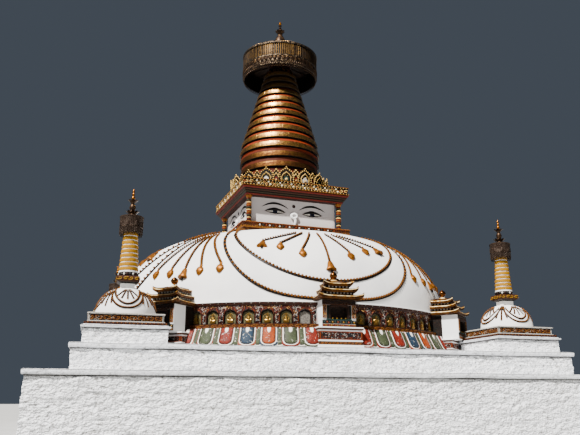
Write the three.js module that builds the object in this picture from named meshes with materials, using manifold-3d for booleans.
// A stupa: two square masonry terraces, a round drum with lotus petals, niches and eight shrines, a low
// white dome, a square head block, a spire of gilt rings, a parasol and a finial, with a small stupa on
// a pedestal at each corner. Sizes are in millimetres. The ground is z = 0, the axis is x = y = 0, and
// the front faces -Y. Angles around the axis start at the front and grow towards +X.
import * as THREE from 'three';
import { mergeVertices } from 'three/addons/utils/BufferGeometryUtils.js';
import Module from 'manifold-3d';

const wasm = await Module();
wasm.setup();

// Driving sizes
const sides = 8; // shrines round the drum, with a bay of niches between each two
const bayAngle = (2 * Math.PI) / sides;
const nichesPerBay = 7;
const nicheStep = THREE.MathUtils.degToRad(5.15);
const nicheShift = THREE.MathUtils.degToRad(1.2); // the niches of a bay stand nearer to its diagonal shrine
const petalStep = THREE.MathUtils.degToRad(5.4);
const petalShift = THREE.MathUtils.degToRad(0.75);
const headTurn = THREE.MathUtils.degToRad(3.5); // the head block, its cornice and crown are turned a little
const cornerOffset = 9000; // from the axis to each corner stupa's axis, along X and along Y
const clearance = 0.4; // between cut neighbours

// Heights of the main stages
const lowerTerraceTop = 2520;
const upperTerraceTop = 3560;
const lotusTop = 4480;
const ledgeTop = 4690;
const friezeTop = 5510;
const domeFoot = 5700;
const domeTop = 10100;
const headBaseTop = 10800;
const headTop = 12400;
const corniceTop = 12850;
const bandTop = 13320;
const crownFloor = 13900;
const spireFoot = 14450;
const parasolFoot = 20990;
const parasolTop = 22690;
const finialTop = 25400;

// Radii of the drum
const lotusFootRadius = 9960;
const lotusTopRadius = 9440;
const petalSwell = 70;
const ledgeRadius = 9500;
const friezeRadius = 9300;
const nicheDepth = 150;
const domeRadius = 9260;

// Colours and surfaces
const surface = (color, roughness, metalness) => new THREE.MeshStandardMaterial({ color, roughness, metalness });
const limewash = surface(0xeceae6, 0.9, 0);
const plaster = surface(0xf6f5f3, 0.75, 0);
const petalPaint = surface(0x7d5a4e, 0.7, 0);
const ledgePaint = surface(0xa8672a, 0.6, 0);
const friezePaint = surface(0x6e2b20, 0.7, 0);
const cornicePaint = surface(0x6b3024, 0.7, 0);
const jewelPaint = surface(0xb07a2c, 0.5, 0);
const postPaint = surface(0x8c3a22, 0.6, 0);
const gilding = surface(0xd9a341, 0.35, 0.9);
const giltCopper = surface(0xb4652c, 0.3, 0.9);
const bronze = surface(0x4a3423, 0.45, 0.8);
const conePaint = surface(0xe0a52c, 0.6, 0);
const roofGilding = surface(0x9a7a35, 0.45, 0.7);

const stupa = new THREE.Group();

// One named piece, turned by angle round its own vertical axis and set down at x, y
function addPiece(name, geometry, material, angle = 0, x = 0, y = 0) {
  const mesh = new THREE.Mesh(geometry, material);
  mesh.name = name;
  mesh.rotation.z = angle;
  mesh.position.set(x, y, 0);
  stupa.add(mesh);
}

// A turned solid about Z from [radius, height] pairs, listed upwards and starting and ending on the axis,
// or closed on itself
function turned(profile, segments, start = 0) {
  const points = profile.map(([radius, height]) => new THREE.Vector2(radius, height));
  return new THREE.LatheGeometry(points, segments, start).rotateX(Math.PI / 2);
}

// The same with a square plan, where the first number of each pair is half the square's side
function square(profile) {
  return turned(profile.map(([half, height]) => [half * Math.SQRT2, height]), 4, Math.PI / 4);
}

function box(xLow, xHigh, yLow, yHigh, zLow, zHigh) {
  const block = new THREE.BoxGeometry(xHigh - xLow, yHigh - yLow, zHigh - zLow);
  return block.translate((xLow + xHigh) / 2, (yLow + yHigh) / 2, (zLow + zHigh) / 2);
}

// A closed geometry as a solid for cutting and joining
function solidOf(geometry) {
  const bare = geometry.clone();
  bare.deleteAttribute('normal');
  bare.deleteAttribute('uv');
  const merged = mergeVertices(bare, 0.01);
  const index = merged.index.array;
  const corners = [];
  for (let i = 0; i < index.length; i += 3) {
    const [a, b, c] = [index[i], index[i + 1], index[i + 2]];
    if (a !== b && b !== c && c !== a) corners.push(a, b, c);
  }
  const mesh = new wasm.Mesh({
    numProp: 3,
    vertProperties: new Float32Array(merged.attributes.position.array),
    triVerts: new Uint32Array(corners),
  });
  return new wasm.Manifold(mesh);
}

function geometryOf(solid) {
  const mesh = solid.getMesh();
  const geometry = new THREE.BufferGeometry();
  geometry.setAttribute('position', new THREE.BufferAttribute(new Float32Array(mesh.vertProperties), 3));
  geometry.setIndex(new THREE.BufferAttribute(new Uint32Array(mesh.triVerts), 1));
  geometry.computeVertexNormals();
  return geometry;
}

const joined = (geometries) => geometries.map(solidOf).reduce((whole, next) => whole.add(next));

// Middle of a bay's row of niches or petals: even bays run from a cardinal shrine to a diagonal one
const bayMiddle = (bay, shift) => (bay + 0.5) * bayAngle + (bay % 2 === 0 ? shift : -shift);

// Angles round the drum: the joints between the parts of every bay, with extra steps between them
function drumAngles(stepsPerPart, partStep, shift) {
  const angles = [];
  for (let bay = 0; bay < sides; bay += 1) {
    for (let step = 0; step <= nichesPerBay * stepsPerPart; step += 1) {
      angles.push(bayMiddle(bay, shift) + (step / stepsPerPart - nichesPerBay / 2) * partStep);
    }
  }
  return angles;
}

// A turned solid whose corners lie at the drum's angles, swollen outwards at each part's middle
function drumRing(profile, stepsPerPart = 1, swell = 0, partStep = nicheStep, shift = nicheShift) {
  const angles = drumAngles(stepsPerPart, partStep, shift);
  const geometry = turned(profile, angles.length);
  const position = geometry.attributes.position;
  const rows = profile.length;
  for (let i = 0; i < position.count; i += 1) {
    const step = Math.floor(i / rows) % angles.length;
    const radius = profile[i % rows][0];
    const withinBay = step % (nichesPerBay * stepsPerPart + 1);
    const outwards = radius > 0 && withinBay % stepsPerPart !== 0 ? swell : 0;
    position.setX(i, (radius + outwards) * Math.sin(angles[step]));
    position.setY(i, -(radius + outwards) * Math.cos(angles[step]));
  }
  geometry.computeVertexNormals();
  return geometry;
}

// Terraces
const lowerTerrace = square([
  [0, 0],
  [12360, 0],
  [12360, lowerTerraceTop - 220],
  [12440, lowerTerraceTop - 220],
  [12440, lowerTerraceTop],
  [0, lowerTerraceTop],
]);
const upperTerrace = square([
  [0, lowerTerraceTop],
  [10960, lowerTerraceTop],
  [10960, upperTerraceTop - 200],
  [11040, upperTerraceTop - 200],
  [11040, upperTerraceTop],
  [0, upperTerraceTop],
]);
addPiece('lower_terrace', lowerTerrace, limewash);
addPiece('upper_terrace', upperTerrace, limewash);

// Drum: each part can be grown a little, to cut its neighbours clear of it
function lotusPlinth(grown = 0) {
  const profile = [
    [0, upperTerraceTop],
    [lotusFootRadius - 60 + grown, upperTerraceTop],
    [lotusFootRadius + grown, upperTerraceTop + 200],
    [lotusTopRadius + 190 + grown, lotusTop - 240],
    [lotusTopRadius + grown, lotusTop],
    [0, lotusTop],
  ];
  return drumRing(profile, 3, petalSwell, petalStep, petalShift);
}

function drumLedge(grown = 0) {
  const profile = [
    [0, lotusTop],
    [ledgeRadius + grown, lotusTop],
    [ledgeRadius + grown, ledgeTop],
    [0, ledgeTop],
  ];
  return drumRing(profile);
}

// The frieze is an extruded disc with a recess for each niche
function nicheFrieze(grown = 0) {
  const halfNiche = 0.31 * nicheStep - grown / friezeRadius;
  const outline = new THREE.Shape();
  const outer = friezeRadius + grown;
  const inner = friezeRadius - nicheDepth + grown;
  const points = [];
  for (let bay = 0; bay < sides; bay += 1) {
    for (let niche = 0; niche < nichesPerBay; niche += 1) {
      const middle = bayMiddle(bay, nicheShift) + (niche - (nichesPerBay - 1) / 2) * nicheStep;
      const corners = [
        [outer, middle - halfNiche],
        [inner, middle - halfNiche],
        [inner, middle + halfNiche],
        [outer, middle + halfNiche],
      ];
      corners.forEach(([radius, angle]) => points.push([radius * Math.sin(angle), -radius * Math.cos(angle)]));
    }
  }
  points.forEach(([x, y], i) => (i === 0 ? outline.moveTo(x, y) : outline.lineTo(x, y)));
  outline.closePath();
  const disc = new THREE.ExtrudeGeometry(outline, { depth: friezeTop - ledgeTop, bevelEnabled: false });
  return disc.translate(0, 0, ledgeTop);
}

function drumCornice(grown = 0) {
  const profile = [
    [0, friezeTop],
    [friezeRadius + 20 + grown, friezeTop],
    [friezeRadius + 80 + grown, friezeTop + 60],
    [friezeRadius + 80 + grown, domeFoot],
    [0, domeFoot],
  ];
  return drumRing(profile);
}

// The dome's profile: radius falls from the lip as a flattened oval, cut level at the top
function domeProfileRadius(height) {
  const fullHeight = 4620;
  const share = (height - domeFoot) / fullHeight;
  return domeRadius * (1 - share ** 2.06) ** (1 / 3.45);
}

function dome(grown = 0) {
  const rows = 11;
  const profile = [[0, domeFoot]];
  for (let row = 0; row <= rows; row += 1) {
    const share = 1 - (1 - row / rows) ** 1.6;
    const height = domeFoot + share * (domeTop - domeFoot);
    profile.push([domeProfileRadius(height) + grown, height]);
  }
  profile.push([0, domeTop]);
  return drumRing(profile);
}

addPiece('lotus_plinth', lotusPlinth(), petalPaint);
addPiece('drum_ledge', drumLedge(), ledgePaint);
addPiece('niche_frieze', nicheFrieze(), friezePaint);
addPiece('drum_cornice', drumCornice(), cornicePaint);
addPiece('dome', dome(), plaster);

// Shrines: a pedestal and a cell with an open niche, drawn at the front and cut to the drum behind.
// Those on the diagonals stand further out and are lower.
const cellFront = -9900;
const cellHalf = 780;
const nicheHalf = 400;
const nicheSill = 4800;
const nicheHead = 5450;
const cellBack = -9000;
const shrineRoofFoot = 5680;
const shrineSlabTop = 4500;
const shrineSlabHeight = 120;
const diagonalCellOut = 680;
const diagonalPedestalOut = 180;
const diagonalRoofOut = 400;
const diagonalDrop = 170;
const diagonalSlabDrop = 120;

// A part of the drum as a solid to cut with, turned to lie as it does behind a shrine on a diagonal
const cutter = (part, onDiagonal) => solidOf(part(clearance).rotateZ(onDiagonal ? -bayAngle : 0));

function shrineBody(onDiagonal) {
  const cellOut = onDiagonal ? diagonalCellOut : 0;
  const pedestalOut = onDiagonal ? diagonalPedestalOut : 0;
  const front = cellFront - cellOut;
  const drop = onDiagonal ? diagonalDrop : 0;
  const slabTop = shrineSlabTop - (onDiagonal ? diagonalSlabDrop : 0);
  const body = joined([
    box(-1040, 1040, -10150 - pedestalOut, cellBack, upperTerraceTop, upperTerraceTop + 160),
    box(-970, 970, -10080 - pedestalOut, cellBack, upperTerraceTop + 160, slabTop - shrineSlabHeight),
    box(-1040, 1040, -10150 - pedestalOut, cellBack, slabTop - shrineSlabHeight, slabTop),
    box(-cellHalf, cellHalf, front, cellBack, slabTop, shrineRoofFoot - drop),
  ]);
  const opening = box(-nicheHalf, nicheHalf, front - 100, front + 300, nicheSill - drop, nicheHead - drop);
  const drum = [lotusPlinth, drumLedge, nicheFrieze, drumCornice];
  const cut = drum.reduce((whole, part) => whole.subtract(cutter(part, onDiagonal)), body.subtract(solidOf(opening)));
  return geometryOf(cut);
}

// Three square tiers with turned-up eaves, a cap and a ball
function shrineRoof(onDiagonal) {
  const centre = -9260 - (onDiagonal ? diagonalRoofOut : 0);
  const drop = onDiagonal ? diagonalDrop : 0;
  const tiers = [
    { eave: 960, eaveHeight: 5900, inner: 620 },
    { eave: 780, eaveHeight: 6220, inner: 480 },
    { eave: 610, eaveHeight: 6500, inner: 280 },
  ];
  const profile = [[0, shrineRoofFoot], [840, shrineRoofFoot], [900, 5840]];
  tiers.forEach(({ eave, eaveHeight, inner }) => {
    profile.push([eave, eaveHeight - 10], [eave, eaveHeight + 40], [inner, eaveHeight + 130]);
    profile.push([inner, eaveHeight + 200]);
  });
  profile.pop();
  profile.push([90, 6740], [0, 6740]);
  const ball = new THREE.SphereGeometry(140, 12, 8).rotateX(Math.PI / 2).translate(0, 0, 6850);
  const roof = joined([square(profile), ball]).translate([0, centre, -drop]);
  const cut = roof.subtract(cutter(dome, onDiagonal)).subtract(cutter(drumCornice, onDiagonal));
  return geometryOf(cut);
}

const shrineGeometries = [shrineBody(false), shrineBody(true)];
const shrineRoofGeometries = [shrineRoof(false), shrineRoof(true)];
for (let side = 0; side < sides; side += 1) {
  addPiece(`shrine_${side + 1}`, shrineGeometries[side % 2], plaster, side * bayAngle);
  addPiece(`shrine_roof_${side + 1}`, shrineRoofGeometries[side % 2], roofGilding, side * bayAngle);
}

// Head block on the dome, with its base, corner posts, cornice and gilt band
const headHalf = 2550;
const postOffset = 2700;
const headBase = square([
  [0, domeTop],
  [3120, domeTop],
  [3120, 10450],
  [3220, 10500],
  [3220, headBaseTop],
  [0, headBaseTop],
]);
const headBlock = square([
  [0, headBaseTop],
  [headHalf, headBaseTop],
  [headHalf, headTop],
  [0, headTop],
]);
const headPost = turned(
  [
    [0, headBaseTop],
    [190, headBaseTop],
    [190, headBaseTop + 180],
    [130, headBaseTop + 260],
    [150, headBaseTop + 800],
    [110, headTop - 280],
    [190, headTop - 150],
    [190, headTop],
    [0, headTop],
  ],
  12,
);
const headCornice = square([
  [0, headTop],
  [2900, headTop],
  [2900, headTop + 120],
  [3040, headTop + 160],
  [3040, headTop + 290],
  [3180, headTop + 330],
  [3180, corniceTop],
  [0, corniceTop],
]);
const headBand = square([
  [0, corniceTop],
  [3200, corniceTop],
  [3200, bandTop],
  [0, bandTop],
]);
addPiece('head_base', headBase, jewelPaint, headTurn);
addPiece('head_block', headBlock, plaster, headTurn);
const corners = [[-1, -1], [1, -1], [1, 1], [-1, 1]];
corners.forEach(([x, y], i) => {
  const spot = new THREE.Vector2(x, y).multiplyScalar(postOffset).rotateAround(new THREE.Vector2(), headTurn);
  addPiece(`head_post_${i + 1}`, headPost, postPaint, headTurn, spot.x, spot.y);
});
addPiece('head_cornice', headCornice, cornicePaint, headTurn);
addPiece('head_band', headBand, gilding, headTurn);

// Crown of leaves: a disc whose rim rises into a pointed leaf at every second step
const leaves = 32;
function lotusCrown() {
  const rimRadius = 2970;
  const profile = [
    [0, bandTop],
    [rimRadius - 40, bandTop],
    [rimRadius, crownFloor - 120],
    [rimRadius - 60, crownFloor + 60],
    [rimRadius - 180, crownFloor + 60],
    [rimRadius - 180, crownFloor],
    [0, crownFloor],
  ];
  const geometry = turned(profile, leaves * 2);
  const position = geometry.attributes.position;
  const rows = profile.length;
  const leafHeight = 310;
  for (let i = 0; i < position.count; i += 1) {
    const atLeaf = Math.floor(i / rows) % 2 === 1;
    const onRim = i % rows === 3 || i % rows === 4;
    if (atLeaf && onRim) position.setZ(i, position.getZ(i) + leafHeight);
  }
  geometry.computeVertexNormals();
  return geometry;
}
addPiece('lotus_crown', lotusCrown(), gilding, headTurn);

// Spire of rings: each has a band, a slope above it and a groove below it
const rings = 13;
const ringFoot = (ring) => spireFoot + 635 * ring - 7.4 * ring * ring;
const ringRadius = (height) => Math.min(2400 + 0.055 * (height - spireFoot), 2480 - 0.28 * (height - 15900));
function spire() {
  const profile = [[0, crownFloor], [2260, crownFloor]];
  for (let ring = 0; ring < rings; ring += 1) {
    const foot = ringFoot(ring);
    const pitch = ringFoot(ring + 1) - foot;
    const radius = ringRadius(foot + 0.3 * pitch);
    profile.push([radius - 110, foot]);
    profile.push([radius, foot + 0.08 * pitch]);
    profile.push([radius, foot + 0.62 * pitch]);
    profile.push([ringRadius(foot + pitch) - 90, foot + 0.96 * pitch]);
  }
  profile.push([0, profile.at(-1)[1]]);
  return turned(profile, 24);
}
addPiece('spire', spire(), giltCopper);

// Neck between the spire and the parasol's ceiling
const spireTop = ringFoot(rings - 1) + 0.96 * (ringFoot(rings) - ringFoot(rings - 1));
const parasolCeiling = 22420;
const spireNeck = turned(
  [
    [0, spireTop],
    [820, spireTop],
    [820, spireTop + 160],
    [640, spireTop + 220],
    [640, parasolCeiling - 160],
    [860, parasolCeiling - 100],
    [860, parasolCeiling],
    [0, parasolCeiling],
  ],
  24,
);
addPiece('spire_neck', spireNeck, bronze);

// Parasol: a drum closed above and open below
const parasol = turned(
  [
    [0, parasolCeiling],
    [2230, parasolCeiling],
    [2250, parasolFoot],
    [2330, parasolFoot],
    [2390, 21500],
    [2330, 21560],
    [2350, parasolTop - 190],
    [2390, parasolTop - 150],
    [2390, parasolTop - 70],
    [2300, parasolTop - 30],
    [520, parasolTop],
    [0, parasolTop],
  ],
  32,
);
addPiece('parasol', parasol, bronze);

const finial = turned(
  [
    [0, parasolTop],
    [460, parasolTop],
    [500, 22800],
    [300, 22900],
    [210, 23050],
    [420, 23230],
    [440, 23400],
    [300, 23560],
    [150, 23660],
    [240, 23800],
    [220, 24000],
    [130, 24480],
    [290, 24560],
    [300, 24680],
    [90, 24780],
    [100, 25120],
    [90, 25300],
    [0, finialTop],
  ],
  14,
);
addPiece('finial', finial, bronze);

// Corner stupas: pedestal and steps, dome, neck with cornice and banded cone, parasol with finial
const pedestalTop = 4250;
const smallDomeFoot = 4750;
const smallDomeTop = 5890;
const smallParasolFoot = 8150;
const smallSpireTop = 8480;
const cornerPedestal = square([
  [0, upperTerraceTop],
  [1620, upperTerraceTop],
  [1620, pedestalTop - 100],
  [1690, pedestalTop - 100],
  [1690, pedestalTop],
  [1610, pedestalTop],
  [1610, pedestalTop + 120],
  [1440, pedestalTop + 120],
  [1440, smallDomeFoot - 40],
  [1480, smallDomeFoot - 40],
  [1480, smallDomeFoot],
  [0, smallDomeFoot],
]);

function cornerDome() {
  const rows = 6;
  const profile = [[0, smallDomeFoot]];
  for (let row = 0; row <= rows; row += 1) {
    const share = 1 - (1 - row / rows) ** 1.5;
    const radius = 1215 * (1 - (0.97 * share) ** 2.1) ** (1 / 2.3);
    profile.push([radius, smallDomeFoot + share * (smallDomeTop - smallDomeFoot)]);
  }
  profile.push([0, smallDomeTop]);
  return turned(profile, 20);
}

function cornerSpire() {
  const head = square([
    [0, smallDomeTop],
    [300, smallDomeTop],
    [300, 6110],
    [430, 6170],
    [460, 6410],
    [0, 6410],
  ]);
  const coneFoot = 6600;
  const bands = 10;
  const pitch = (smallSpireTop - coneFoot) / bands;
  const profile = [[0, 6390], [380, 6390], [430, 6510], [380, coneFoot]];
  for (let band = 0; band < bands; band += 1) {
    const foot = coneFoot + band * pitch;
    const radius = 405 - 13 * band;
    profile.push([radius, foot + 0.3 * pitch], [radius - 26, foot + pitch]);
  }
  profile.push([0, smallSpireTop]);
  return geometryOf(joined([head, turned(profile, 12)]));
}

const cornerParasol = turned(
  [
    [0, smallSpireTop],
    [430, smallSpireTop],
    [450, smallParasolFoot],
    [490, smallParasolFoot],
    [500, 8960],
    [470, 9000],
    [170, 9040],
    [110, 9160],
    [230, 9300],
    [90, 9440],
    [150, 9620],
    [70, 9740],
    [90, 9900],
    [0, 10250],
  ],
  12,
);
const cornerDomeGeometry = cornerDome();
const cornerSpireGeometry = cornerSpire();
corners.forEach(([x, y], i) => {
  const place = [0, x * cornerOffset, y * cornerOffset];
  addPiece(`corner_pedestal_${i + 1}`, cornerPedestal, limewash, ...place);
  addPiece(`corner_dome_${i + 1}`, cornerDomeGeometry, plaster, ...place);
  addPiece(`corner_spire_${i + 1}`, cornerSpireGeometry, conePaint, ...place);
  addPiece(`corner_parasol_${i + 1}`, cornerParasol, bronze, ...place);
});

export default stupa;
